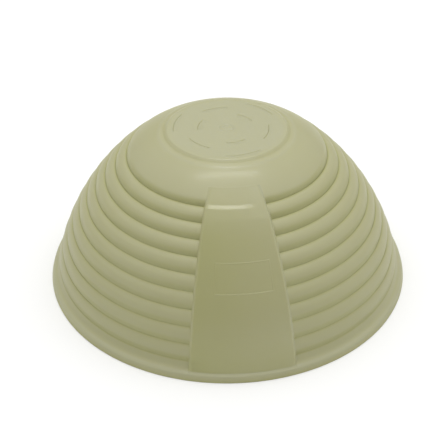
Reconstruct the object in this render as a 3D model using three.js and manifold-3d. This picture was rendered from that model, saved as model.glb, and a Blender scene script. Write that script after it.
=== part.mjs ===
// Round proofing basket for bread dough: one injection-moulded plastic bowl, standing upside down on its lip.
// Millimetres, +Z up. The origin is the centre of the lip's resting plane, and the smooth panel faces -Y.
import * as THREE from "three";
import { LoftGeometry } from "three/addons/geometries/LoftGeometry.js";
import { mergeVertices } from "three/addons/utils/BufferGeometryUtils.js";
import Module from "manifold-3d";

// Overall size and wall
const rimDiameter = 220;
const height = 97.4;
const wall = 2.4;

// Foot: the raised flat disc that the basket stands on in use, with a narrow land round it
const footDiameter = 69.8;
const footFlank = 1.4;
const footStep = 1.6;
const landWidth = 3.5;
const landDrop = 0.5;

// Gate mark: the shallow dimple where the plastic was injected
const gateDiameter = 10;
const gateDepth = 0.5;

// Shoulder: the smooth dome between the land and the top groove
const shoulderWidth = 22.9;
const shoulderDrop = 15.6;

// Ribbed wall: rounded ribs between sharp grooves, with their crests so far outside an arc that bulges outwards.
// The top groove is the deepest, and the lowest one lies on the arc.
const wallArcRadius = 137.8;
const ribCount = 9;
const ribHeight = 1.1;
const topRibDepth = 1.7;
const widestOverNarrowestRib = 1.08;

// Lip: a hollow flare from the lowest groove, and the upright edge that it ends in
const lipHeight = 4.1;
const lipOverhang = 5.9;
const lipDraft = 1.1;
const lipRound = 0.6;
const lowGrooveRise = 5.6;
const flareHollow = 0.5;
const restWidth = 2.2;

// Smooth panel: a raised plate in place of the ribs, a little flatter than the wall, with rounded sides.
// It starts a share of the way down the shoulder, rooted in it, creases just below the top groove, and ends a
// share of the way down the flare. The rises at that crease and at the bend below it start from the ribs' crests.
const panelAngle = 33;
const panelStart = 0.8;
const panelRoot = 0.3;
const panelArcRadius = 162;
const panelCreaseDrop = 1.7;
const panelCreaseRise = 1.7;
const panelBendRise = 1.8;
const panelEnd = 0.85;
const panelEdgeRound = 1.8;

// Air slots: arcs cut through the foot, in rings that are turned half a step from each other
const slotRingRadii = [16.8, 24.1, 31.4];
const slotsPerRing = 3;
const slotWidth = 0.8;
const slotAngle = 38;
const firstSlotAngle = 43.5;

// Fineness of the facets
const turnSegments = 48;
const outerRibSegments = 4;
const innerRibSegments = 3;
const shoulderSegments = 5;
const flareSegments = 4;
const gateSegments = 2;
const slotSegments = 6;
const panelSegmentsAlong = 12;
const panelSegmentsAcross = 5;
const panelRoundSegments = 3;

// Worked out from the sizes above
const rimRadius = rimDiameter / 2;
const footRadius = footDiameter / 2;
const footEdge = new THREE.Vector2(footRadius + footFlank, height - footStep);
const landEdge = new THREE.Vector2(footEdge.x + landWidth, footEdge.y - landDrop);
const topGroove = new THREE.Vector2(footEdge.x + shoulderWidth, height - shoulderDrop);
const lowGroove = new THREE.Vector2(rimRadius - lipOverhang, lipHeight + lowGrooveRise);
const wallArc = arcThrough(topGroove, lowGroove, wallArcRadius);
const grooveAngles = placeGrooves();
const halfRibAngle = (grooveAngles[1] - grooveAngles[0]) / 2;
const shoulderEndAngle = grooveAngles[0] - halfRibAngle;

const wasm = await Module();
wasm.setup();

// The centre and end angles of an arc of a given radius that bulges away from the axis.
function arcThrough(start, end, radius) {
  const chord = end.clone().sub(start);
  const reach = Math.sqrt(radius ** 2 - (chord.length() / 2) ** 2);
  const inward = new THREE.Vector2(chord.y, -chord.x).normalize();
  const centre = start.clone().add(end).multiplyScalar(0.5).addScaledVector(inward, reach);
  return { centre, startAngle: start.clone().sub(centre).angle(), endAngle: end.clone().sub(centre).angle() };
}

// The arc angle of each groove from the top one down: each rib is a little wider than the one above it.
function placeGrooves() {
  const widths = [];
  for (let i = 0; i < ribCount; i++) {
    widths.push(THREE.MathUtils.lerp(1, widestOverNarrowestRib, ribCount > 1 ? i / (ribCount - 1) : 0));
  }
  const total = widths.reduce((sum, width) => sum + width, 0);
  const angles = [wallArc.startAngle];
  for (const width of widths) {
    angles.push(angles.at(-1) + ((wallArc.endAngle - wallArc.startAngle) * width) / total);
  }
  return angles;
}

function arcPoint(centre, radius, angle) {
  return new THREE.Vector2(Math.cos(angle), Math.sin(angle)).multiplyScalar(radius).add(centre);
}

// A point of the wall at an arc angle, so far outside the line through the grooves.
function wallPoint(angle, level) {
  return arcPoint(wallArc.centre, wallArcRadius + level, angle);
}

// How far a rib of a given depth stands out at a share of the way from one groove to the next: a circle's arc.
function ribLevel(share, depth) {
  const halfWidth = Math.abs(halfRibAngle) * wallArcRadius;
  const radius = (halfWidth ** 2 + depth ** 2) / (2 * depth);
  return ribHeight - radius + Math.sqrt(radius ** 2 - ((2 * share - 1) * halfWidth) ** 2);
}

// The ribbed wall from the half rib that ends the shoulder to the lowest groove, moved inwards by an inset.
function ribbedLine(segments, inset) {
  const ends = [grooveAngles[0] - 2 * halfRibAngle, ...grooveAngles];
  const points = [];
  for (let i = 0; i <= ribCount; i++) {
    const firstStep = i > 0 ? 1 : Math.floor(segments / 2) + 1;
    for (let step = firstStep; step <= segments; step++) {
      const share = step / segments;
      const angle = THREE.MathUtils.lerp(ends[i], ends[i + 1], share);
      const down = Math.max(i - 1 + share, 0) / ribCount;
      const depth = THREE.MathUtils.lerp(topRibDepth, ribHeight, down);
      points.push(wallPoint(angle, ribLevel(share, depth) - inset));
    }
  }
  return points;
}

// The shoulder leaves the land and ends on the crest of a half rib that rolls over into the top groove.
function shoulderCurve() {
  const end = wallPoint(shoulderEndAngle, ribHeight);
  const upTheWall = new THREE.Vector2(-Math.sin(shoulderEndAngle), Math.cos(shoulderEndAngle));
  const handle = end.clone().addScaledVector(upTheWall, end.distanceTo(landEdge) / 2);
  return new THREE.QuadraticBezierCurve(landEdge, handle, end);
}

// A point at a share of the way down the shoulder, so deep under its surface.
function shoulderPoint(share, depth) {
  const curve = shoulderCurve();
  const along = curve.getTangent(share);
  return curve.getPoint(share).addScaledVector(new THREE.Vector2(along.y, -along.x), depth);
}

function shoulderLine(depth) {
  const points = [];
  for (let i = 0; i <= shoulderSegments; i++) points.push(shoulderPoint(i / shoulderSegments, depth));
  return points;
}

function gateLine() {
  const points = [];
  for (let i = 0; i <= gateSegments; i++) {
    const share = i / gateSegments;
    points.push(new THREE.Vector2((share * gateDiameter) / 2, height - gateDepth * (1 - share ** 2)));
  }
  return points;
}

// The flare from the lowest groove out to the lip, hollowed under the straight line between them.
function flareCurve() {
  const start = wallPoint(grooveAngles.at(-1), 0);
  const end = new THREE.Vector2(rimRadius - lipDraft - lipRound, lipHeight);
  const inwards = new THREE.Vector2(end.y - start.y, start.x - end.x).normalize();
  const handle = start.clone().add(end).multiplyScalar(0.5).addScaledVector(inwards, 2 * flareHollow);
  return new THREE.QuadraticBezierCurve(start, handle, end);
}

// The flare and the lip, round its resting face and up the inside.
function lipLine() {
  const top = rimRadius - lipDraft;
  const restInside = rimRadius - lipRound - restWidth;
  return [
    ...flareCurve().getPoints(flareSegments).slice(1),
    new THREE.Vector2(top, lipHeight - lipRound),
    new THREE.Vector2(rimRadius, lipRound),
    new THREE.Vector2(rimRadius - lipRound, 0),
    new THREE.Vector2(restInside, 0),
    new THREE.Vector2(restInside - lipRound, lipRound),
    new THREE.Vector2(lowGroove.x, lipHeight),
  ];
}

// The whole section: down the outside from the axis, round the lip and back up the inside, one wall thick.
function shellSection() {
  const inside = [
    new THREE.Vector2(0, height - wall),
    new THREE.Vector2(footRadius - footFlank, height - wall),
    new THREE.Vector2(footRadius, footEdge.y - wall),
    ...shoulderLine(wall),
    ...ribbedLine(innerRibSegments, wall),
  ];
  return [
    ...gateLine(),
    new THREE.Vector2(footRadius, height),
    footEdge,
    ...shoulderLine(0),
    ...ribbedLine(outerRibSegments, 0),
    ...lipLine(),
    ...inside.reverse(),
  ];
}

// The panel's face from the shoulder down into the flare: two straight steps, and then an arc.
function panelFace() {
  const crease = wallPoint(grooveAngles[0] - panelCreaseDrop / wallArcRadius, ribHeight + panelCreaseRise);
  const bend = wallPoint(grooveAngles[1], ribHeight + panelBendRise);
  const low = flareCurve().getPoint(panelEnd);
  const arc = arcThrough(bend, low, panelArcRadius);
  const points = [shoulderPoint(panelStart, panelRoot), crease];
  for (let i = 0; i <= panelSegmentsAlong; i++) {
    const angle = THREE.MathUtils.lerp(arc.startAngle, arc.endAngle, i / panelSegmentsAlong);
    points.push(arcPoint(arc.centre, panelArcRadius, angle));
  }
  points.push(new THREE.Vector2(low.x, low.y - wall / 2));
  return points;
}

// The panel's back, inside the wall and between the grooves of its two sides, from the flare up to the shoulder.
function panelBack() {
  const buried = ribHeight - (topRibDepth + wall) / 2;
  const points = [];
  for (let i = 0; i <= panelSegmentsAlong; i++) {
    const angle = THREE.MathUtils.lerp(grooveAngles.at(-1), shoulderEndAngle, i / panelSegmentsAlong);
    points.push(wallPoint(angle, buried));
  }
  return points;
}

// A point of a section, turned about the vertical axis from the front towards +X.
function turned(point, angle) {
  return new THREE.Vector3(point.x * Math.sin(angle), -point.x * Math.cos(angle), point.y);
}

// The panel's section at a share of the way from its middle to its left (-1) or right side (1).
// It is drawn in from that side by an inset, and its face is lowered for the rounded edge.
function panelSlice(across, inset, lowered) {
  const half = THREE.MathUtils.degToRad(panelAngle / 2);
  const face = panelFace().map((point) => {
    const inwards = wallArc.centre.clone().sub(point).normalize();
    return point.clone().addScaledVector(inwards, lowered);
  });
  return [...face, ...panelBack()].map((point) => turned(point, across * (half - inset / point.x)));
}

// The panel's slices from one side to the other: round, flat and round again.
function smoothPanel() {
  const edge = [];
  for (let i = 0; i <= panelRoundSegments; i++) {
    const turn = (i / panelRoundSegments) * (Math.PI / 2);
    const inset = panelEdgeRound * (1 - Math.cos(turn));
    const lowered = panelEdgeRound * (1 - Math.sin(turn));
    edge.push({ inset, lowered });
  }
  const left = edge.map(({ inset, lowered }) => panelSlice(-1, inset, lowered));
  const right = edge.map(({ inset, lowered }) => panelSlice(1, inset, lowered));
  const middle = [];
  for (let i = 1; i < panelSegmentsAcross; i++) {
    middle.push(panelSlice((2 * i) / panelSegmentsAcross - 1, panelEdgeRound, 0));
  }
  const slices = [...left, ...middle, ...right.reverse()];
  return solidOf(new LoftGeometry(slices, { capStart: true, capEnd: true }));
}

// A geometry as a solid: a closed mesh with its shared corners merged.
function solidOf(geometry) {
  const bare = new THREE.BufferGeometry().setIndex(geometry.index);
  bare.setAttribute("position", geometry.attributes.position);
  const merged = mergeVertices(bare, 1e-4);
  const corners = merged.index.array;
  const faces = [];
  for (let i = 0; i < corners.length; i += 3) {
    const [a, b, c] = corners.subarray(i, i + 3);
    if (a !== b && b !== c && c !== a) faces.push(a, b, c);
  }
  const vertProperties = merged.attributes.position.array;
  return new wasm.Manifold(new wasm.Mesh({ numProp: 3, vertProperties, triVerts: new Uint32Array(faces) }));
}

function geometryOf(solid) {
  const { vertProperties, triVerts } = solid.getMesh();
  const geometry = new THREE.BufferGeometry();
  geometry.setAttribute("position", new THREE.BufferAttribute(vertProperties, 3));
  geometry.setIndex(new THREE.BufferAttribute(triVerts, 1));
  geometry.computeVertexNormals();
  return geometry;
}

// A section turned about the vertical axis.
function revolved(section) {
  return solidOf(new THREE.LatheGeometry([...section].reverse(), turnSegments).rotateX(Math.PI / 2));
}

// One air slot: an arc of constant width with round ends, about a middle direction.
function airSlot(ringRadius, middle) {
  const half = THREE.MathUtils.degToRad(slotAngle / 2);
  const round = slotWidth / 2;
  const from = middle - half;
  const to = middle + half;
  const slot = new THREE.Shape();
  slot.absarc(0, 0, ringRadius + round, from, to, false);
  slot.absarc(ringRadius * Math.cos(to), ringRadius * Math.sin(to), round, to, to + Math.PI, false);
  slot.absarc(0, 0, ringRadius - round, to, from, true);
  slot.absarc(ringRadius * Math.cos(from), ringRadius * Math.sin(from), round, from + Math.PI, from, false);
  const cut = { depth: 3 * wall, bevelEnabled: false, curveSegments: slotSegments };
  return solidOf(new THREE.ExtrudeGeometry(slot, cut).translate(0, 0, height - 2 * wall));
}

function airSlots() {
  const slots = [];
  const step = (2 * Math.PI) / slotsPerRing;
  slotRingRadii.forEach((ringRadius, ring) => {
    for (let i = 0; i < slotsPerRing; i++) {
      const turn = i + (ring % 2) / 2;
      slots.push(airSlot(ringRadius, THREE.MathUtils.degToRad(firstSlotAngle) + turn * step));
    }
  });
  return slots;
}

function basketShell() {
  let shell = revolved(shellSection()).add(smoothPanel());
  for (const slot of airSlots()) shell = shell.subtract(slot);
  const plastic = new THREE.MeshStandardMaterial({ color: 0xd9d6b4, roughness: 0.38, metalness: 0 });
  const mesh = new THREE.Mesh(geometryOf(shell), plastic);
  mesh.name = "basket_shell";
  return mesh;
}

const basket = new THREE.Group();
basket.add(basketShell());

export default basket;
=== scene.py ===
import bpy
import numpy as np
from mathutils import Matrix, Vector


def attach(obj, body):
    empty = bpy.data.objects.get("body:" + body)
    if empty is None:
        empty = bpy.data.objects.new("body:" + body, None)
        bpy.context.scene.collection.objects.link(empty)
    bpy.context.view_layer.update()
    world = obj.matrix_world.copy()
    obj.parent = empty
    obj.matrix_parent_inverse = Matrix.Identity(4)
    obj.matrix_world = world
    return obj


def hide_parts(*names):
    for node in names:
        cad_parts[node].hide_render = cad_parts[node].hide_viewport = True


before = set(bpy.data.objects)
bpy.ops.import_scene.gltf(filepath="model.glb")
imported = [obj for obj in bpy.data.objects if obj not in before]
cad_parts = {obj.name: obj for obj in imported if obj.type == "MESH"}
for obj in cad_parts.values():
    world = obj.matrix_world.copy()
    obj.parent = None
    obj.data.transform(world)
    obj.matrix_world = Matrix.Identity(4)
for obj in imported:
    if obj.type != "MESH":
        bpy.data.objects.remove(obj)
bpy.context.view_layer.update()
print("frame loaded:", ", ".join(sorted(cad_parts)))

mm = 0.001

# The basket, in millimetres and degrees. Angles round the axis start at the panel's middle (-Y), towards +X.
basket = {
    "height": 97.4, "wall": 2.4,
    "gateRadius": 5.0, "gateDepth": 0.5, "nubSink": 0.1,  # the nub's top lies that share of the depth down
    "footEdge": (34.8, 97.4), "footBase": (36.95, 95.92), "landEdge": (39.6, 95.31),
    "footRounds": (0.5, 0.6, 0.6),  # how far from those three corners their rounding starts
    "topGroove": (59.2, 81.8), "lowGroove": (104.1, 9.7), "wallArc": 137.8,
    "ribs": 9, "ribHeight": 1.1, "ribDepths": (1.7, 1.1), "lowestOverTopRib": 1.08,
    "flareCorner": (106.2, 5.55), "flareRound": 1.2, "lipTop": (108.85, 3.75), "lipFoot": (110.0, 0.0),
    "lipInner": (106.8, 0.0), "lipJoin": (103.6, 4.6), "lipRounds": (0.7, 0.7, 0.6),
    "panelHalf": 16.5, "panelEdgeRound": 2.4, "panelFillet": 0.5, "panelDraft": 14.0,
    "landingTop": (50.74, 89.51), "landingFoot": (59.9, 83.56), "crease": (62.3, 82.83), "bend": (66.9, 78.9),
    "panelRounds": (0.5, 0.6, 1.6),  # at the landing's foot, the crease and the bend
    "panelArc": 162.0, "panelFoot": (107.4, 4.75), "ledgeFade": (5.5, 10.5),
    "frameSides": (-9.0, 11.3), "frameRows": (37.2, 30.3), "frameWidth": 0.7, "frameHeight": 0.14,
    "slotRings": (16.8, 24.4, 31.05), "slotsPerRing": 3, "slotWidth": 0.09, "slotHalf": 19.0, "firstSlot": 133.5,
    "slotBevel": 0.16,
    "innerCorner": (35.0, 93.3), "innerFlat": (33.4, 33.2), "innerRounds": (1.2, 0.08),
}

# How the plastic's tone runs over the basket (0 is olive, 0.5 cream and 1 pale; the olive is painted shade and the
# pale mostly painted highlight and sheen), how much smoother it is than elsewhere and where it has a glossy skin.
# Lengths are in millimetres, ends of fades in degrees from the panel.
look = {
    "footTone": 1.0, "landTone": 0.55, "flankShade": 0.22, "lipTone": 0.5, "ledgeHighlight": 0.5, "restShade": 0.4,
    "slotShadeTone": 0.2, "edgeWearAndHighlight": 0.25, "edgePolish": 0.5, "topPolish": 0.3, "panelPolish": 0.72,
    "shoulderGloss": 0.41, "landGloss": 0.2, "glossEnds": (110.0, 70.0),
    "wallTones": (0.56, 0.6, 0.64),  # under the land, at the shoulder's crest and in the lowest groove
    "panelTones": (0.6, 0.35, 0.44, 0.25),  # at the shoulder's crest, the third, the eighth and the lowest groove
    "panelSideLight": 0.15, "panelEdge": (-0.2, 0.6), "wornAndLitAt": 0.7, "wornAndLitHalf": 0.8, "ledgeEdge": (0.6, -0.3),
    # shadeUp, shadeDown, shadeTone and lineHalf place the painted shade beside and in the grooves; frontLitEnds and
    # frontLitShare give the painted light that lightens the groove line beside the panel
    "shadeUp": (4.5, 1.8), "shadeDown": (-1.2, -0.3), "shadeTone": 0.22, "lineHalf": 0.45,
    "frontLitEnds": (75.0, 25.0), "frontLitShare": 0.7,
}

# How fine the basket's grid is: rows and columns of its parts, and steps of close ones in millimetres or shares
fineness = {
    "gateRows": 13, "shoulderRows": 15, "halfRibRows": 18, "ribRows": 12, "innerRibRows": 5, "innerCrestRows": 4,
    "flareRows": 22, "cornerSteps": 12, "footSteps": 8, "middleRings": (8, 12), "poleRings": (4, 1),
    "aroundPanel": 22, "aroundRest": 196, "middleRadius": 80, "closestRadius": 46,
    "clearOfEdge": 2.4, "clearOfFrame": 0.9, "slotFade": 8,  # degrees
    "slotSteps": np.array([-1.0, -0.85, -0.5, 0.0, 0.5, 0.85, 1.0]),
    "panelEdgeSteps": np.array([
        -1.6, -0.9, -0.5, -0.3, -0.18, -0.09, -0.03, 0.03, 0.1, 0.2, 0.34, 0.52, 0.75, 1.03, 1.4, 1.8, 2.2, 2.6]),
    "frameSteps": np.array([-0.6, -0.35, -0.2, 0.0, 0.2, 0.35, 0.6]),
    "creaseSteps": np.array([-1.0, -0.7, -0.4, -0.13, 0.13, 0.4, 0.7, 1.0]),
}


# Every inner corner of a line becomes a quadratic curve that starts and ends so far from the corner.
def softCorners(corners, reach, steps=5):
    corners = np.array(corners, float)
    before, here, after = corners[:-2], corners[1:-1], corners[2:]
    toBefore = (before - here) / np.linalg.norm(before - here, axis=1, keepdims=True)
    toAfter = (after - here) / np.linalg.norm(after - here, axis=1, keepdims=True)
    reach = np.array(reach, float)[:, None]
    start, end = here + toBefore * reach, here + toAfter * reach
    t = np.linspace(0, 1, steps)[None, :, None]
    curves = start[:, None] * (1 - t) ** 2 + here[:, None] * 2 * t * (1 - t) + end[:, None] * t ** 2
    return np.vstack([corners[:1], curves.reshape(-1, 2), corners[-1:]])


# The centre of an arc between two points that bulges away from the axis: half the chord and the
# radius give its distance from the chord's middle.
def arcCentre(start, end, radius):
    start, end = np.array(start), np.array(end)
    chord = end - start
    inward = np.array([chord[1], -chord[0]]) / np.linalg.norm(chord)
    return (start + end) / 2 + inward * np.sqrt(radius ** 2 - (np.linalg.norm(chord) / 2) ** 2)


wallCentre = arcCentre(basket["topGroove"], basket["lowGroove"], basket["wallArc"])


# Section points as angle about the wall arc's centre and height over the line through the grooves, and back.
def toLevels(points):
    away = np.array(points) - wallCentre
    return np.arctan2(away[:, 1], away[:, 0]), np.hypot(away[:, 0], away[:, 1]) - basket["wallArc"]


def fromLevels(angle, level):
    reach = basket["wallArc"] + level
    return wallCentre[0] + reach * np.cos(angle), wallCentre[1] + reach * np.sin(angle)


# Groove angles from the top one down: the ribs' widths grow evenly from the first to the last.
grooveEnds = toLevels([basket["topGroove"], basket["lowGroove"]])[0]
ribWidths = np.linspace(1, basket["lowestOverTopRib"], basket["ribs"])
ribShares = np.concatenate([[0], np.cumsum(ribWidths)]) / ribWidths.sum()
grooves = grooveEnds[0] + (grooveEnds[1] - grooveEnds[0]) * ribShares
shoulderEnd = grooves[0] + (grooves[0] - grooves[1]) / 2
ribEnds = np.concatenate([[2 * shoulderEnd - grooves[0]], grooves])

# The shoulder: a quadratic curve from the land's edge to the crest above the top groove. Its rows start a little
# below the land's edge, and the inside follows some of its points.
shoulderFoot = np.array(fromLevels(shoulderEnd, basket["ribHeight"]))
landEdge = np.array(basket["landEdge"])
upTheWall = np.array([-np.sin(shoulderEnd), np.cos(shoulderEnd)])
shoulderHandle = shoulderFoot + upTheWall * np.linalg.norm(shoulderFoot - landEdge) / 2
t = np.linspace(0, 1, 400)[:, None]
shoulderLine = landEdge * (1 - t) ** 2 + shoulderHandle * 2 * t * (1 - t) + shoulderFoot * t ** 2
shoulderStart, innerPoints = 40, slice(380, None, -40)

# The flare: a cone down from the lowest groove, hollowed out into the lip's ledge.
flareLine = softCorners(
    [basket["lowGroove"], basket["flareCorner"], basket["lipTop"]], [basket["flareRound"]],
    steps=fineness["cornerSteps"])
ledgeLeft = 0.4  # the share of the ledge that the lip's rows take over
lipStart = flareLine[-1] + (flareLine[-2] - flareLine[-1]) * ledgeLeft


# Height of the ribbed wall: each rib is a circle's arc, the radius of which is half the sum of its half width
# squared and its depth squared over the depth; the depth falls evenly from the top groove to the lowest.
# Above the ribs is the shoulder, below them the flare.
def ribLevel(angle):
    share = np.interp(-angle, -ribEnds, np.arange(len(ribEnds))) % 1
    depth = np.interp(-angle, -grooves[[0, -1]], basket["ribDepths"])
    halfWidth = (grooves[0] - grooves[-1]) / basket["ribs"] / 2 * basket["wallArc"]
    roundness = (halfWidth ** 2 + depth ** 2) / (2 * depth)
    fromCrest = (2 * share - 1) * halfWidth
    rib = basket["ribHeight"] - roundness + np.sqrt(roundness ** 2 - fromCrest ** 2)
    shoulderAngle, shoulderLevel = toLevels(shoulderLine)
    flareAngle, flareLevel = toLevels(flareLine)
    wall = np.where(angle < grooves[-1], np.interp(-angle, -flareAngle, flareLevel), rib)
    return np.where(angle > shoulderEnd, np.interp(-angle, -shoulderAngle, shoulderLevel), wall)


# Height of the smooth panel: a straight landing off the shoulder, a crease, a short slope, a bend and a long arc.
# The plain line leaves out the ledge that ends in the crease.
panelCentre = arcCentre(basket["bend"], basket["panelFoot"], basket["panelArc"])
bendTurn, lowTurn = (np.arctan2(*(np.array(basket[end]) - panelCentre)[::-1]) for end in ("bend", "panelFoot"))
turn = np.linspace(bendTurn, lowTurn, 200)
panelCurve = panelCentre + basket["panelArc"] * np.column_stack([np.cos(turn), np.sin(turn)])
underBend, lowArc = panelCurve[8], panelCurve[9:]  # the bend's rounding takes up the arc's first points
panelTop = softCorners(
    [basket["landingTop"], basket["landingFoot"], basket["crease"], basket["bend"], underBend],
    basket["panelRounds"], steps=fineness["cornerSteps"])
panelLine = np.vstack([panelTop, lowArc])
plainTop = softCorners(
    [basket["landingTop"], basket["bend"], underBend], basket["panelRounds"][2:], steps=fineness["cornerSteps"])
plainLine = np.vstack([plainTop, lowArc])
landingAngle = toLevels(panelLine[:1])[0][0]


# Above the landing the panel dives under the shoulder.
def panelLevel(angle, line=panelLine):
    lineAngle, lineLevel = toLevels(line)
    dive = np.maximum(angle - landingAngle, 0) * basket["wallArc"]
    return np.where(angle > landingAngle, ribLevel(angle) - dive, np.interp(-angle, -lineAngle, lineLevel))


# Heights of two forms joined by a fillet: the higher one, plus a parabola where they come close.
def softMax(a, b, reach):
    near = np.clip(reach - np.abs(a - b), 0, None) / np.maximum(reach, 1e-6)
    return np.maximum(a, b) + near ** 2 * reach / 4


# From 0 to 1 between two values, with soft ends.
def softStep(start, end, value):
    share = np.clip((value - start) / (end - start), 0, 1)
    return share ** 2 * (3 - 2 * share)


# Rows of a line from one end to the other, closer together at both ends (a cosine's spacing).
def closeAtEnds(start, end, count):
    return start + (end - start) * (1 - np.cos(np.linspace(0, np.pi, count + 1))) / 2


# Columns: evenly spaced round the basket, and sets of close ones along the panel's sides and the empty frame's.
half = np.radians(basket["panelHalf"])
clearOfEdge = np.radians(fineness["clearOfEdge"])
inside = np.linspace(-half + 1.5 * clearOfEdge, half - 1.5 * clearOfEdge, fineness["aroundPanel"])
outside = np.linspace(half + clearOfEdge, 2 * np.pi - half - clearOfEdge, fineness["aroundRest"])
frameSides = np.radians(basket["frameSides"])
inside = inside[np.abs(inside[:, None] - frameSides).min(axis=1) > np.radians(fineness["clearOfFrame"])]
edge, line = fineness["panelEdgeSteps"], fineness["frameSteps"]
columnAngle = np.concatenate([
    inside, outside, np.full(len(edge), half), np.full(len(edge), -half),
    np.repeat(frameSides, len(line))])
columnOffset = np.concatenate([
    np.zeros(len(inside) + len(outside)), -edge, edge, np.tile(line, 2)])
order = np.argsort((columnAngle + columnOffset / fineness["middleRadius"] + np.pi) % (2 * np.pi))
columnAngle, columnOffset = columnAngle[order], columnOffset[order]
columns = len(columnAngle)


# The turn of each column on a ring of a given radius: the close columns keep their distance in millimetres, and
# run together towards the axis inside the closest radius.
def columnTurn(radius):
    return columnAngle + columnOffset / np.maximum(np.asarray(radius)[..., None], fineness["closestRadius"])


# Where the columns of the wall's rows stand: radius, turn, turn from the panel's middle, and how far they are into
# the panel.
def acrossPanel(angle):
    plainRadius = fromLevels(angle, basket["ribHeight"])[0]
    turns = columnTurn(plainRadius)
    around = (turns + np.pi) % (2 * np.pi) - np.pi
    return plainRadius, turns, around, (half - np.abs(around)) * plainRadius[:, None]


# The wall between the shoulder and the lip: the panel's height fades over its rounded edge and its drafted side
# into the ribs' height. The ledge fades out towards one side. The empty frame is a low ridge on the panel.
def wallRows(angle):
    plainRadius, turns, around, intoPanel = acrossPanel(angle)
    roundOff = basket["panelEdgeRound"]
    along = np.clip(intoPanel / roundOff, 0, 1)
    lowered = roundOff * (1 - np.sqrt(1 - (1 - along) ** 2))
    ledge = (panelLevel(angle) - panelLevel(angle, plainLine))[:, None]
    panel = panelLevel(angle)[:, None] - ledge * softStep(*np.radians(basket["ledgeFade"]), around)
    side = panel - lowered + np.minimum(intoPanel, 0) * basket["panelDraft"]
    plain = ribLevel(angle)[:, None] + np.zeros_like(turns)
    stands = np.clip(panel - plain, 0, None)
    level = softMax(plain, side, np.minimum(basket["panelFillet"], stands / 2))
    level = level + frameRidge(angle, around, plainRadius)
    return (*fromLevels(angle[:, None], level), turns)


# Height of the empty frame: a rounded ridge along the outline of a four-sided field.
def frameRidge(angle, around, radius):
    sides, rows = np.radians(basket["frameSides"]), np.radians(basket["frameRows"])
    acrossMid, acrossHalf = sides.mean(), np.ptp(sides) / 2
    upMid, upHalf = rows.mean(), np.ptp(rows) / 2
    outX = (np.abs(around - acrossMid) - acrossHalf) * radius[:, None]
    outY = (np.abs(angle - upMid) - upHalf)[:, None] * basket["wallArc"] + np.zeros_like(around)
    awayFromOutline = np.abs(np.maximum(outX, outY))
    share = np.clip(1 - awayFromOutline / (basket["frameWidth"] / 2), 0, 1)
    return basket["frameHeight"] * share ** 2 * (3 - 2 * share)


# How glossy the shoulder and the land are: 1 in front, 0 on the far side.
def glossShare(turn):
    away = np.abs((turn + np.pi) % (2 * np.pi) - np.pi)
    return softStep(*np.radians(look["glossEnds"]), away)


# Tone of the wall, from olive in the grooves (0) to pale (1), the polish of the panel and the gloss of the shoulder.
# The olive is painted shade: a groove's painted shade reaches some millimetres up the rib above it and less far down
# the rib below it, and a darker painted line of shade lies in the groove itself. Beside the panel that line is
# painted lighter, as painted light from the front on the ribs' undersides.
def wallLook(angle):
    around, intoPanel = acrossPanel(angle)[2:]
    aboveGroove = (angle[:, None] - grooves) * basket["wallArc"]
    shadeUp, shadeDown = (softStep(*look[name], aboveGroove) for name in ("shadeUp", "shadeDown"))
    shade = np.where(aboveGroove > 0, shadeUp, shadeDown).max(axis=1)
    plain = np.interp(-angle, [-shoulderTop, -shoulderEnd, -grooves[-1]], look["wallTones"])
    plain = plain + (look["shadeTone"] - plain) * shade
    inGroove = np.exp(-(aboveGroove / look["lineHalf"]) ** 2).max(axis=1)[:, None]
    frontLit = look["frontLitShare"] * softStep(*np.radians(look["frontLitEnds"]), np.abs(around))
    plain = plain[:, None] * (1 - inGroove * (1 - frontLit))
    onPanel = softStep(*look["panelEdge"], intoPanel) * (angle < landingAngle)[:, None]
    # The panel is paler along its rounded edges: partly wear, partly a painted highlight where the edge catches the
    # light
    wornAndLitEdge = np.exp(-((intoPanel - look["wornAndLitAt"]) / look["wornAndLitHalf"]) ** 2) * onPanel
    # The panel's tone is painted lighter near its top and darker lower down: painted shade
    toneAngles = np.array([shoulderEnd, grooves[2], grooves[7], grooves[-1]])
    smooth = np.interp(-angle, -toneAngles, look["panelTones"])
    onShoulder = glossShare(around) * softStep(grooves[0], shoulderEnd, angle)[:, None] * (1 - onPanel)
    # The panel is painted paler towards +X and darker towards -X: painted light from the right
    smooth = smooth[:, None] + look["panelSideLight"] * around / half
    tone = plain * (1 - onPanel) + smooth * onPanel + look["edgeWearAndHighlight"] * wornAndLitEdge
    ledgeStart = toLevels([basket["panelFoot"]])[0] + np.array(look["ledgeEdge"]) / basket["wallArc"]
    onLedge = softStep(*ledgeStart, angle)[:, None]
    # The ledge over the lip is painted paler: a painted highlight
    tone = tone + (look["lipTone"] + look["ledgeHighlight"] - tone) * onLedge
    return tone, look["panelPolish"] * onPanel, look["shoulderGloss"] * onShoulder


# How near a turned line lies to some of its corners: 1 at them, and less by a bell curve within some millimetres.
def cornerBell(points, corners):
    worn = np.zeros(len(points))
    for corner in corners:
        worn = np.maximum(worn, np.exp(-((points - np.array(corner)) ** 2).sum(axis=1)))
    return np.repeat(worn[:, None], columns, axis=1)


# A section line turned round the axis: the same radius and height in every column.
def turnedRows(points):
    points = np.array(points)
    spread = np.zeros((len(points), columns))
    return points[:, :1] + spread, points[:, 1:] + spread, columnTurn(points[:, 0])


# The flat of the base from the axis outwards: rows at each ring of slots, and a few between them.
def baseRadii(openHalf):
    rings = np.array(basket["slotRings"])
    bands = rings[:, None] + openHalf * fineness["slotSteps"]
    between = np.concatenate([fineness["middleRings"], (rings[:-1] + rings[1:]) / 2])
    return np.sort(np.concatenate([bands.ravel(), between]))


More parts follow.
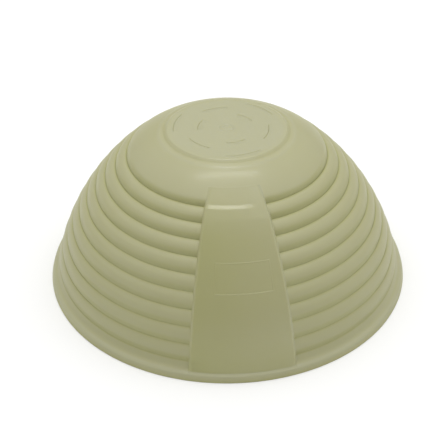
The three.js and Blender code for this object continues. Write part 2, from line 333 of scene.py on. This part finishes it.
# The gate mark: a dimple round a nub. Its depth is the square of a sine of a power of the share of its radius, so
# that it is deepest two thirds of the way out, and a high power of the share closes it at its rim.
gateShare = np.linspace(0.1, 1, fineness["gateRows"])
gateSink = basket["nubSink"] + (1 - basket["nubSink"]) * np.sin(np.pi * gateShare ** 1.6) ** 2
gateSink = basket["gateDepth"] * gateSink * (1 - gateShare ** 8)
gate = np.column_stack([gateShare * basket["gateRadius"], basket["height"] - gateSink])

# The foot: its flat top with the slots' rows, its edge, its flank and the land round it.
topOpen = basket["slotWidth"] / 2 + basket["slotBevel"]
topRadii = baseRadii(topOpen)
topFlat = np.column_stack([topRadii, np.full(len(topRadii), basket["height"])])
foot = softCorners(
    [topFlat[-1], basket["footEdge"], basket["footBase"], basket["landEdge"], shoulderLine[shoulderStart]],
    basket["footRounds"], steps=fineness["footSteps"])[1:]

# The wall's rows: along the shoulder, half a rib, the ribs and the flare, with close ones at the crease and frame.
shoulderTop = toLevels(foot[-1:])[0][0]
halfRibRows = closeAtEnds(2 * shoulderEnd - grooves[0], grooves[0], fineness["halfRibRows"])
ribRows = np.concatenate([closeAtEnds(a, b, fineness["ribRows"])[1:] for a, b in zip(grooves[:-1], grooves[1:])])
creaseAngles = toLevels([basket[name] for name in ("landingFoot", "crease", "bend")])[0]
creaseSteps = np.outer(basket["panelRounds"], fineness["creaseSteps"]) / basket["wallArc"]
creaseRows = (creaseAngles[:, None] + creaseSteps).ravel()
frameRows = (np.radians(basket["frameRows"])[:, None] + line / basket["wallArc"]).ravel()
wallAngles = np.concatenate([
    np.linspace(shoulderTop, shoulderEnd, fineness["shoulderRows"])[1:],
    halfRibRows[fineness["halfRibRows"] // 2 + 1:], ribRows,
    np.linspace(grooves[-1], toLevels([lipStart])[0][0], fineness["flareRows"] + 1)[1:],
    creaseRows, frameRows])
wallAngles = np.sort(wallAngles)[::-1]
wallAngles = wallAngles[np.concatenate([[True], np.diff(wallAngles) < -1e-5])]  # no two rows in one place

# The lip: out along its ledge, over its rounded edges, along its resting face and up to the inside.
lip = softCorners(
    [lipStart, basket["lipTop"], basket["lipFoot"], basket["lipInner"], basket["lipJoin"]],
    basket["lipRounds"])[1:]

# The inside: the ribbed wall and shoulder one wall thickness further in, the same all round, and the flat base.
innerAngles = np.concatenate(
    [closeAtEnds(a, b, fineness["innerRibRows"])[:-1] for a, b in zip(grooves[:0:-1], grooves[-2::-1])]
    + [closeAtEnds(grooves[0], shoulderEnd, fineness["innerCrestRows"])])
innerWall = np.column_stack(fromLevels(innerAngles, ribLevel(innerAngles) - basket["wall"]))
slope = np.gradient(shoulderLine, axis=0)
slope /= np.linalg.norm(slope, axis=1, keepdims=True)
inwards = np.column_stack([slope[:, 1], -slope[:, 0]])
innerShoulder = (shoulderLine + inwards * basket["wall"])[innerPoints]
bottomOpen = basket["slotWidth"] / 2 + basket["slotBevel"] / 2
innerFloor = basket["height"] - basket["wall"]
innerFoot = softCorners(
    [innerShoulder[-1], basket["innerCorner"], *((flat, innerFloor) for flat in basket["innerFlat"])],
    basket["innerRounds"])[1:-1]
bottomRadii = np.concatenate([baseRadii(bottomOpen)[::-1], fineness["poleRings"]])
bottomFlat = np.column_stack([bottomRadii, np.full(len(bottomRadii), innerFloor)])

sections = [
    turnedRows(gate), turnedRows(topFlat), turnedRows(foot), wallRows(wallAngles), turnedRows(lip),
    turnedRows(innerWall), turnedRows(innerShoulder), turnedRows(innerFoot), turnedRows(bottomFlat)]
radius, level, turns = (np.vstack(parts) for parts in zip(*sections))
rows = len(radius)

# Tone, polish and gloss of all rows, from the gate mark over the outside to the inside
wallTone, wallPolish, wallGloss = wallLook(wallAngles)
# Near the foot's edge and the land's edge the tone is paler: partly wear, partly a painted highlight on those edges
nearFootEdges = cornerBell(foot, [basket["footEdge"], basket["landEdge"]])
footGloss = glossShare(columnTurn(foot[:, 0]))
# The foot's flank is painted darker: painted shade in the corner under the foot's edge
flank = (np.array(basket["footEdge"]) + np.array(basket["footBase"])) / 2
footTone = look["landTone"] + look["edgeWearAndHighlight"] * nearFootEdges - look["flankShade"] * cornerBell(foot, [flank])
# The lip's top edge is painted paler as a painted highlight, and its resting edge darker as painted shade by the
# floor
lipTone = look["lipTone"] + look["ledgeHighlight"] * cornerBell(lip, [basket["lipTop"]])
lipTone = lipTone - look["restShade"] * cornerBell(lip, [basket["lipFoot"]])
# The gate mark and the flat top are painted pale (footTone): a painted sheen of the light from above
onTop = np.ones((len(gate) + len(topFlat), columns))
onInside = np.ones((sum(map(len, (innerWall, innerShoulder, innerFoot, bottomFlat))), columns))
dull = np.zeros((len(lip) + len(onInside), columns))
tone = np.vstack([look["footTone"] * onTop, footTone, wallTone, lipTone, look["lipTone"] * onInside])
polish = np.vstack([look["topPolish"] * onTop, look["edgePolish"] * nearFootEdges, wallPolish, dull])
gloss = np.vstack([0 * onTop, look["landGloss"] * footGloss, wallGloss, dull])
bottomStart = rows - len(bottomFlat)
print("basket grid:", rows, "rows by", columns, "columns")

# Slots: each has a ring, a first row on the top and on the bottom, and the turn of its middle. The slots of every
# other ring stand between those of the next.
slotStep = 2 * np.pi / basket["slotsPerRing"]
slotCount = len(fineness["slotSteps"])
slots = []
for ring, ringRadius in enumerate(basket["slotRings"]):
    topRow = len(gate) + np.argmin(np.abs(topFlat[:, 0] - (ringRadius - topOpen)))
    bottomRow = bottomStart + np.argmin(np.abs(bottomRadii - (ringRadius + bottomOpen)))
    for place in range(basket["slotsPerRing"]):
        middle = np.radians(basket["firstSlot"]) + (place + ring % 2 / 2) * slotStep
        slots.append((ringRadius, topRow, bottomRow, middle))


# The signed turn from one direction to another, between half a turn back and half a turn on.
def turnTo(a, b):
    return (b - a + np.pi) % (2 * np.pi) - np.pi


# Bends the columns of a slot's rows so that two of them follow its round ends: at each share across the slot the
# end lies a half circle's height further on. The shift fades out over some degrees to both sides.
def bendToSlot(ringRadius, firstRow, downwards, middle, openHalf):
    ends = []
    steps = fineness["slotSteps"][::-1] if downwards else fineness["slotSteps"]
    band = slice(firstRow, firstRow + slotCount)
    fade = np.radians(fineness["slotFade"])
    for side in (-1, 1):
        endTurn = middle + side * np.radians(basket["slotHalf"])
        column = np.argmin(np.abs(turnTo(turns[firstRow], endTurn + side * openHalf / ringRadius / 2)))
        across = ringRadius + openHalf * steps
        beyond = openHalf * np.sqrt(np.clip(1 - steps ** 2, 0, None))
        target = endTurn + side * np.arctan2(beyond, across)
        shift = turnTo(turns[band, column], target)
        weight = np.clip(1 - np.abs(turnTo(turns[band, column][:, None], turns[band])) / fade, 0, 1)
        turns[band] += shift[:, None] * weight
        radius[band, column] = np.hypot(across, beyond)
        ends.append(column)
    return ends


slotColumns = []
for ringRadius, topRow, bottomRow, middle in slots:
    slotColumns.append(bendToSlot(ringRadius, topRow, False, middle, topOpen))
    bendToSlot(ringRadius, bottomRow, True, middle, bottomOpen)

grid = np.stack([radius * np.sin(turns), -radius * np.cos(turns), level], axis=-1)
vertices = np.vstack([
    grid.reshape(-1, 3), [[0, 0, basket["height"] - basket["nubSink"] * basket["gateDepth"]]], [[0, 0, innerFloor]]])
topPole, bottomPole = len(vertices) - 2, len(vertices) - 1

# Faces of the grid, without the cells that the slots take away on the top and on the bottom
row, column = np.mgrid[0:rows - 1, 0:columns]
onwards = (column + 1) % columns
cells = np.stack([
    row * columns + column, (row + 1) * columns + column,
    (row + 1) * columns + onwards, row * columns + onwards], axis=-1)
kept = np.ones((rows - 1, columns), bool)
bevel, bevelMiddle, slotHalfWidth = basket["slotBevel"], 0.3 * basket["slotBevel"], basket["slotWidth"] / 2
slotHalf = np.radians(basket["slotHalf"])
walls, extra = [], []  # the faces of the slots' walls and the rings of points that they add
for (ringRadius, topRow, bottomRow, middle), (first, last) in zip(slots, slotColumns):
    across = (first + np.arange((last - first) % columns)) % columns
    kept[topRow:topRow + slotCount - 1, across] = False
    kept[bottomRow:bottomRow + slotCount - 1, across] = False
    # the slot's outline as steps across it and columns along it: out, along, back in and along
    step = np.concatenate([
        np.arange(slotCount), np.full(len(across), slotCount - 1), np.arange(slotCount - 2, -1, -1),
        np.zeros(len(across) - 1, int)])
    along = np.concatenate([
        np.full(slotCount, first), np.append(across[1:], last), np.full(slotCount - 1, last), across[:0:-1]])
    top = (topRow + step) * columns + along
    bottom = (bottomRow + slotCount - 1 - step) * columns + along
    # rings of the slot's wall: the outline pushed out from the slot's middle line by a half width
    rim = vertices[top][:, :2]
    rimTurn = np.arctan2(rim[:, 0], -rim[:, 1])
    lineTurn = middle + np.clip(turnTo(middle, rimTurn), -slotHalf, slotHalf)
    spine = ringRadius * np.column_stack([np.sin(lineTurn), -np.cos(lineTurn)])
    outwards = (rim - spine) / np.linalg.norm(rim - spine, axis=1, keepdims=True)
    loops = [top]
    for width, height in (
        (slotHalfWidth + bevelMiddle, basket["height"] - bevelMiddle),
        (slotHalfWidth, basket["height"] - bevel),
        (slotHalfWidth, innerFloor + bevel / 2),
    ):
        ring = np.column_stack([spine + outwards * width, np.full(len(rim), height)])
        loops.append(len(vertices) + sum(map(len, extra)) + np.arange(len(rim)))
        extra.append(ring)
    loops.append(bottom)
    for upper, lower in zip(loops[:-1], loops[1:]):
        walls.append(np.column_stack([upper, np.roll(upper, -1), np.roll(lower, -1), lower]))

column = np.arange(columns)
lastRow = (rows - 1) * columns
topFan = np.column_stack([np.full(columns, topPole), column, (column + 1) % columns])
bottomFan = np.column_stack([lastRow + column, np.full(columns, bottomPole), lastRow + (column + 1) % columns])
faces = np.vstack([cells[kept], *walls]).tolist() + topFan.tolist() + bottomFan.tolist()
vertices = np.vstack([vertices, *extra]) * mm

basketMesh = bpy.data.meshes.new("ribbed_basket")
basketMesh.from_pydata(vertices.tolist(), [], faces)
basketMesh.validate()
basketMesh.shade_smooth()
spare = len(vertices) - tone.size
# The slots' walls get the slot shade tone: painted shade in the narrow slots
for name, values, rest in (("tone", tone, look["slotShadeTone"]), ("polish", polish, 0), ("gloss", gloss, 0)):
    attribute = basketMesh.attributes.new(name, "FLOAT", "POINT")
    attribute.data.foreach_set("value", np.append(values.ravel(), np.full(spare, rest)))
basketPiece = bpy.data.objects.new("ribbed_basket", basketMesh)
bpy.context.scene.collection.objects.link(basketPiece)
print("basket mesh:", len(basketMesh.vertices), "vertices,", len(faces), "faces")

# Satin polypropylene: cream with a faint mottle, a fine moulded grain, slow waves from the mould and a glossy skin
# on the shoulder. Scales are per metre, depths in metres.
plastic = {
    # colours at places along the tone: olive for painted shade, cream, and pale for painted highlights and sheen
    "tones": (
        (0.0, (0.29, 0.287, 0.112, 1)), (0.12, (0.372, 0.368, 0.16, 1)), (0.5, (0.403, 0.392, 0.209, 1)),
        (1.0, (0.406, 0.4, 0.246, 1))),
    "mottleScale": 30, "mottle": 0.1, "roughLow": 0.44, "roughHigh": 0.47, "roughScale": 90,
    "polish": 0.35,  # the share of the roughness that is left where the polish is full
    "skinRoughness": 0.18, "refraction": 1.49,
    "grainScale": 1500, "grainDepth": 0.00003, "waveScale": 38, "waveDepth": 0.0001,
    "glow": 0.25, "glowReach": 0.002, "glowColour": (1.0, 0.9, 0.5),
    "noiseEnds": {"From Min": 0.3, "From Max": 0.7},  # where most of a noise's values lie
}


# A node with its own settings and the values of its unlinked sockets.
def newNode(tree, kind, values=(), **settings):
    node = tree.nodes.new(kind)
    for name, value in settings.items():
        setattr(node, name, value)
    for name, value in dict(values).items():
        node.inputs[name].default_value = value
    return node


# A ramp over a node's output, from pairs of place and colour.
def colourRamp(tree, source, stops):
    node = newNode(tree, "ShaderNodeValToRGB")
    elements = node.color_ramp.elements
    while len(elements) < len(stops):
        elements.new(0.5)
    for element, (place, colour) in zip(elements, stops):
        element.position = place
        element.color = colour
    tree.links.new(source, node.inputs["Fac"])
    return node.outputs["Color"]


# The plastic's colour, roughness and gloss follow the mesh's own tone, polish and gloss.
def creamPlastic():
    material = bpy.data.materials.new("satin_cream_plastic")
    material.use_nodes = True
    tree = material.node_tree
    link = tree.links.new
    shader = tree.nodes["Principled BSDF"]
    place = newNode(tree, "ShaderNodeTexCoord").outputs["Object"]
    # colour: the tone, mottled by a slow noise, runs from olive (painted shade) over cream to pale (painted
    # highlight)
    tone = newNode(tree, "ShaderNodeAttribute", attribute_name="tone").outputs["Fac"]
    mottle = newNode(tree, "ShaderNodeTexNoise", {"Scale": plastic["mottleScale"], "Detail": 4, "Roughness": 0.6})
    spread = newNode(tree, "ShaderNodeMapRange", {
        **plastic["noiseEnds"], "To Min": -plastic["mottle"] / 2, "To Max": plastic["mottle"] / 2})
    mottled = newNode(tree, "ShaderNodeMath", operation="ADD")
    link(place, mottle.inputs["Vector"])
    link(mottle.outputs["Fac"], spread.inputs["Value"])
    link(tone, mottled.inputs[0])
    link(spread.outputs["Result"], mottled.inputs[1])
    link(colourRamp(tree, mottled.outputs[0], plastic["tones"]), shader.inputs["Base Color"])
    # roughness: patches that are a little duller from handling, smoother where the polish is
    handled = newNode(tree, "ShaderNodeTexNoise", {"Scale": plastic["roughScale"], "Detail": 5})
    dull = newNode(tree, "ShaderNodeMapRange", {
        **plastic["noiseEnds"], "To Min": plastic["roughLow"], "To Max": plastic["roughHigh"]})
    polish = newNode(tree, "ShaderNodeAttribute", attribute_name="polish").outputs["Fac"]
    smoother = newNode(tree, "ShaderNodeMapRange", {"To Min": 1.0, "To Max": plastic["polish"]})
    roughness = newNode(tree, "ShaderNodeMath", operation="MULTIPLY")
    link(place, handled.inputs["Vector"])
    link(handled.outputs["Fac"], dull.inputs["Value"])
    link(polish, smoother.inputs["Value"])
    link(dull.outputs["Result"], roughness.inputs[0])
    link(smoother.outputs["Result"], roughness.inputs[1])
    link(roughness.outputs[0], shader.inputs["Roughness"])
    # surface: slow waves under a fine grain
    wave = newNode(tree, "ShaderNodeTexNoise", {"Scale": plastic["waveScale"], "Detail": 2})
    grain = newNode(tree, "ShaderNodeTexNoise", {"Scale": plastic["grainScale"], "Detail": 2})
    waveBump = newNode(tree, "ShaderNodeBump", {"Strength": 1, "Distance": plastic["waveDepth"]})
    grainBump = newNode(tree, "ShaderNodeBump", {"Strength": 1, "Distance": plastic["grainDepth"]})
    link(place, wave.inputs["Vector"])
    link(place, grain.inputs["Vector"])
    link(wave.outputs["Fac"], waveBump.inputs["Height"])
    link(grain.outputs["Fac"], grainBump.inputs["Height"])
    link(waveBump.outputs["Normal"], grainBump.inputs["Normal"])
    link(grainBump.outputs["Normal"], shader.inputs["Normal"])
    # gloss: a thin smooth skin on the front of the shoulder
    gloss = newNode(tree, "ShaderNodeAttribute", attribute_name="gloss").outputs["Fac"]
    link(gloss, shader.inputs["Coat Weight"])
    shader.inputs["Coat Roughness"].default_value = plastic["skinRoughness"]
    shader.inputs["IOR"].default_value = plastic["refraction"]
    # a little light goes through the wall
    shader.inputs["Subsurface Weight"].default_value = plastic["glow"]
    shader.inputs["Subsurface Radius"].default_value = plastic["glowColour"]
    shader.inputs["Subsurface Scale"].default_value = plastic["glowReach"]
    return material


basketMesh.materials.append(creamPlastic())
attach(basketPiece, "root")
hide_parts("basket_shell")
print("plastic done")

# Studio: a white floor in a light tent that grows brighter overhead and is dim on the camera's side, with a wide
# strip of soft light above the basket, a small key lamp behind it and a weak fill from the right
studio = {
    "floorHalf": 20.0, "floorColour": (0.92, 0.92, 0.92, 1), "floorRoughness": 0.9,
    # brightness at the sine of the height over the horizon
    "tentFront": ((0.156, 0.22), (0.454, 0.24), (0.695, 0.63), (0.866, 1.34), (0.961, 1.66), (1.0, 1.76)),
    "tentRest": ((0.156, 0.3), (0.454, 0.79), (0.695, 1.06), (0.866, 1.24), (0.961, 1.6), (1.0, 1.76)),
    "frontFrom": 0.35, "frontFull": 0.65,  # how far a ray points to the front where the mix starts and ends
    "strip": {"place": (0.0, 0.108, 1.64), "size": (1.1, 0.11), "power": 3.1},
    "key": {"place": (0.04, 0.58, 1.63), "size": (0.3, 0.17), "power": 1.9},
    "fill": {"place": (1.6, -0.3, 0.7), "size": (1.2, 1.0), "power": 1.6},
}


# A wide flat square without gloss, under the lip.
def whiteFloor():
    h = studio["floorHalf"]
    mesh = bpy.data.meshes.new("floor")
    mesh.from_pydata([(-h, -h, 0), (h, -h, 0), (h, h, 0), (-h, h, 0)], [], [(0, 1, 2, 3)])
    floor = bpy.data.objects.new("floor", mesh)
    bpy.context.scene.collection.objects.link(floor)
    material = bpy.data.materials.new("white_floor")
    material.use_nodes = True
    shader = material.node_tree.nodes["Principled BSDF"]
    shader.inputs["Base Color"].default_value = studio["floorColour"]
    shader.inputs["Roughness"].default_value = studio["floorRoughness"]
    shader.inputs["Specular IOR Level"].default_value = 0
    mesh.materials.append(material)


# The tent is a world whose brightness follows the ray's height, mixed from a front and a rest by how far it
# points towards the camera's side.
def lightTent():
    world = bpy.data.worlds.new("studio")
    bpy.context.scene.world = world
    world.use_nodes = True
    tree = world.node_tree
    tree.nodes.clear()
    parts = newNode(tree, "ShaderNodeSeparateXYZ")
    tree.links.new(newNode(tree, "ShaderNodeTexCoord").outputs["Generated"], parts.inputs[0])
    frontShare = newNode(tree, "ShaderNodeMapRange", {
        "From Min": -studio["frontFrom"], "From Max": -studio["frontFull"]}, interpolation_type="SMOOTHSTEP")
    tree.links.new(parts.outputs["Y"], frontShare.inputs["Value"])
    mix = newNode(tree, "ShaderNodeMixShader")
    out = newNode(tree, "ShaderNodeOutputWorld")
    tree.links.new(frontShare.outputs["Result"], mix.inputs[0])
    for slot, stops in ((1, studio["tentRest"]), (2, studio["tentFront"])):
        cloth = newNode(tree, "ShaderNodeBackground", {"Strength": 1})
        greys = [(place, (bright, bright, bright, 1)) for place, bright in stops]
        tree.links.new(colourRamp(tree, parts.outputs["Z"], greys), cloth.inputs["Color"])
        tree.links.new(cloth.outputs[0], mix.inputs[slot])
    tree.links.new(mix.outputs[0], out.inputs["Surface"])


# A rectangular soft lamp that faces the basket.
def softLamp(name):
    values = studio[name]
    lamp = bpy.data.lights.new(name, "AREA")
    lamp.shape = "RECTANGLE"
    lamp.size, lamp.size_y = values["size"]
    lamp.energy = values["power"]
    holder = bpy.data.objects.new(name, lamp)
    holder.location = values["place"]
    holder.rotation_euler = Vector(values["place"]).to_track_quat("Z", "Y").to_euler()
    bpy.context.scene.collection.objects.link(holder)


whiteFloor()
lightTent()
for lampName in ("strip", "key", "fill"):
    softLamp(lampName)
print("studio done")

# Camera: the photograph's viewpoint, in metres and degrees
viewpoint = {
    "place": (-0.04075, -0.51777, 0.39759), "heading": 4.275, "down": 35.3605, "roll": -0.4498,
    "lens": 82.93, "sensor": 36,  # millimetres
}


# The camera's axes: forwards from its heading and its downward tilt, then turned about that direction.
def photoCamera():
    heading, down, roll = np.radians([viewpoint["heading"], viewpoint["down"], viewpoint["roll"]])
    forward = np.array([np.sin(heading) * np.cos(down), np.cos(heading) * np.cos(down), -np.sin(down)])
    level = np.cross(forward, [0, 0, 1])
    level /= np.linalg.norm(level)
    upright = np.cross(level, forward)
    right = level * np.cos(roll) + upright * np.sin(roll)
    up = upright * np.cos(roll) - level * np.sin(roll)
    place = np.eye(4)
    place[:3, 0], place[:3, 1], place[:3, 2], place[:3, 3] = right, up, -forward, viewpoint["place"]
    camera = bpy.data.cameras.new("photo_view")
    camera.lens = viewpoint["lens"]
    camera.sensor_width = viewpoint["sensor"]
    holder = bpy.data.objects.new("photo_view", camera)
    holder.matrix_world = Matrix(place.tolist())
    bpy.context.scene.collection.objects.link(holder)
    bpy.context.scene.camera = holder


photoCamera()
bpy.context.scene.view_settings.view_transform = "Standard"
bpy.context.view_layer.update()
print("camera done")
